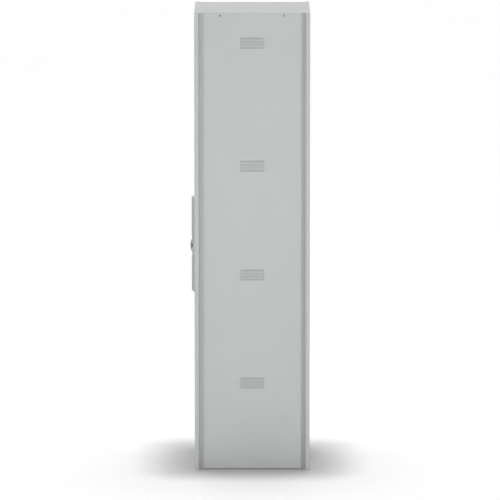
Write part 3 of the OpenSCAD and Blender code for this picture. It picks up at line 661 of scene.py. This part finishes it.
def make_display_keys():
    """Four lit keys and a lit bar on the display."""
    low, high, mid = box_of("display_glass")
    places = [(mid.x + sx * 13.5 * MM, mid.z + (sz * 15 - 6) * MM)
              for sz in (1, -1) for sx in (-1, 1)]

    def tiles(work):
        for x, z in places:
            add_slab(work, (x, low.y, z), (24, 26), 3, 0.12, 0.05)
        add_slab(work, (mid.x, low.y, high.z - 11 * MM), (51, 9), 2, 0.12, 0.05)
    detail("display_keys", "display_glass", "display_black", tiles, SCREEN_TILE)
    for number, (x, z) in enumerate(places, start=1):
        label(f"display_number_{number}", "display_glass", str(number),
              (x, low.y - 0.2 * MM, z), 17 * MM, SIGN_WHITE)


def make_reader_sign():
    """Three radio waves leaving a dot."""
    low, _, mid = box_of("reader_pad")
    dot_x = mid.x - 9 * MM

    def waves(work):
        for radius in (8, 14, 20):
            arc = [Vector((dot_x + radius * MM * math.cos(a), low.y - 0.05 * MM,
                           mid.z + radius * MM * math.sin(a)))
                   for a in (math.radians(-42 + 7 * k) for k in range(13))]
            add_strand(work, arc, 0.55)
        add_rings(work, (dot_x, low.y, mid.z), FRONT, [(0, 2.2), (0.3, 2.2), (0.45, 1.4)])
    detail("reader_sign", "reader_pad", "reader_dark", waves, SIGN_WHITE)


def make_scanner_marks():
    """A corner mark at each corner of the scanner's window."""
    low, _, mid = box_of("scanner_window")

    def corners(work):
        for sx in (-1, 1):
            for sz in (-1, 1):
                x, z = mid.x + sx * 20 * MM, mid.z + sz * 10.5 * MM
                bent = [(x - sx * 6 * MM, low.y, z), (x, low.y, z), (x, low.y, z - sz * 5 * MM)]
                add_strand(work, rounded_path(bent, 1.5, 1), 0.35)
    detail("scanner_marks", "scanner_window", "scanner_red", corners, SIGN_WHITE)


def make_button_sign():
    """An open ring with a bar in its gap."""
    low, _, mid = box_of("wake_button")

    def power_sign(work):
        arc = [Vector((mid.x + 2.7 * MM * math.sin(a), low.y, mid.z + 2.7 * MM * math.cos(a)))
               for a in (math.radians(38 + 18.9 * k) for k in range(16))]
        add_strand(work, arc, 0.35)
        add_strand(work, [Vector((mid.x, low.y, mid.z + z * MM)) for z in (0.6, 2.2, 3.8)], 0.35)
    detail("button_sign", "wake_button", "button_green", power_sign, SIGN_WHITE)


def make_knob_marks():
    """A pointer line on the knob's dome, and the mark on the cover that it points to."""
    low, high, mid = box_of("knob")
    rise = high.x - mid.x
    depth = 8.54 * MM
    dome = (rise * rise + depth * depth) / (2 * depth)

    def pointer(work):
        line = []
        for k in range(12, 29, 2):
            r = k * MM
            y = low.y + dome - math.sqrt(dome * dome - r * r) + 0.25 * MM
            line.append(Vector((mid.x, y, mid.z + r)))
        add_strand(work, line, 0.9)
    detail("knob_pointer", "knob", "knob_grey", pointer, SIGN_WHITE)

    def index(work):
        add_rings(work, (mid.x, box_of("display_glass")[0].y, mid.z + 53 * MM), FRONT,
                  [(-0.3, 2), (0.05, 2), (0.2, 1.5)], 3)
    detail("knob_index", "module_cover", "module_shell", index, PRINT_AND_SHADE_BLACK)


def make_notch_edging():
    """A rubber edge round the cable notch in the back."""
    y = box_of("rear_panel")[1].y - 1.6 * MM
    side, bottom, top = 39 * MM, 1.7 * MM, 29 * MM
    corners = [(-side, y, bottom), (-side, y, top), (side, y, top), (side, y, bottom)]
    detail("notch_edging", "rear_panel", "rubber_black",
           lambda work: add_strand(work, rounded_path(corners, 3, 5), 1.5, sides=12))


# ---- Stage, lights and camera ----

SIDE_X = cad_high.x
CABINET_Y = box_of("side_panel_right")[2].y
FLOOR_SIZE = 160.0
# A shadow painted on the floor spreads from the edge of the cabinet's footprint outwards, fading
# over its reach
FOOT_HALF = 0.25
PAINTED_SHADOW_REACH = 0.30
PAINTED_SHADOW_STRENGTH = 0.49
# A far camera keeps the cabinet's edges nearly upright without a lens shift
CAMERA_AWAY = 20.0
CAMERA_Z = 4.1
AIM_Z = 0.972
AIM_Y = CABINET_Y - 0.0094
VIEW_SPAN = 2.166
SENSOR = 36.0
CLIP_FAR = 200
# The world is bright behind the cabinet and dim on the camera's side
WORLD_BACK = 1.0
WORLD_FRONT = 0.2
WORLD_FADE = (-0.5, 0.8)
LAMP_AIM = Vector((0, 0, 0.6))


def area_light(name, place, size, power):
    """A tall lamp that faces the cabinet's lower part."""
    light = bpy.data.lights.new(name, "AREA")
    light.shape = "RECTANGLE"
    light.size, light.size_y = size
    light.energy = power
    lamp = bpy.data.objects.new(name, light)
    bpy.context.scene.collection.objects.link(lamp)
    lamp.location = place
    lamp.rotation_euler = (LAMP_AIM - Vector(place)).to_track_quat("-Z", "Y").to_euler()


def sun_light(name, towards, spread, strength):
    """Even light from one direction, softened by its spread in degrees."""
    light = bpy.data.lights.new(name, "SUN")
    light.energy = strength
    light.angle = math.radians(spread)
    lamp = bpy.data.objects.new(name, light)
    bpy.context.scene.collection.objects.link(lamp)
    lamp.rotation_euler = Vector(towards).to_track_quat("Z", "Y").to_euler()


def make_stage():
    """The floor, the world's light and the lamps."""
    mesh = mesh_from("studio_floor", lambda w: bmesh.ops.create_grid(
        w, x_segments=1, y_segments=1, size=FLOOR_SIZE / 2))
    floor = bpy.data.objects.new("studio_floor", mesh)
    bpy.context.scene.collection.objects.link(floor)
    floor.data.materials.append(floor_finish())

    world = bpy.data.worlds.new("studio")
    world.use_nodes = True
    tree = world.node_tree
    way = tree.nodes.new("ShaderNodeTexCoord")
    split = tree.nodes.new("ShaderNodeSeparateXYZ")
    fall = tree.nodes.new("ShaderNodeMapRange")
    fall.inputs["From Min"].default_value, fall.inputs["From Max"].default_value = WORLD_FADE
    fall.inputs["To Min"].default_value = WORLD_BACK
    fall.inputs["To Max"].default_value = WORLD_FRONT
    tree.links.new(way.outputs["Generated"], split.inputs[0])
    tree.links.new(split.outputs["X"], fall.inputs["Value"])
    tree.links.new(fall.outputs["Result"], tree.nodes["Background"].inputs["Strength"])
    tree.nodes["Background"].inputs["Color"].default_value = (1, 1, 1, 1)
    bpy.context.scene.world = world
    bpy.context.scene.view_settings.view_transform = "Standard"

    sun_light("overhead", towards=(-0.25, 0.0, 1.0), spread=70, strength=1.2)
    area_light("side_right", place=(5.8, 6.6, 0.7), size=(1.0, 2.5), power=350)
    area_light("side_left", place=(5.4, -7.0, 0.7), size=(1.6, 2.5), power=310)


def make_camera():
    """A raised camera that looks at the cabinet's right side."""
    camera = bpy.data.cameras.new("camera")
    camera.sensor_width = SENSOR
    camera.lens = SENSOR * math.hypot(CAMERA_AWAY, CAMERA_Z - AIM_Z) / VIEW_SPAN
    camera.clip_end = CLIP_FAR
    eye = bpy.data.objects.new("camera", camera)
    bpy.context.scene.collection.objects.link(eye)
    eye.location = (SIDE_X + CAMERA_AWAY, AIM_Y, CAMERA_Z)
    aim = Vector((SIDE_X, AIM_Y, AIM_Z))
    eye.rotation_euler = (aim - eye.location).to_track_quat("-Z", "Y").to_euler()
    bpy.context.scene.camera = eye


dress_cad_nodes()
make_fascia_screws()
make_corner_rivets()
make_levelling_feet()
make_harness()
make_board_parts()
make_supply_parts()
make_door_numbers()
make_display_keys()
make_reader_sign()
make_scanner_marks()
make_button_sign()
make_knob_marks()
make_notch_edging()
make_stage()
make_camera()
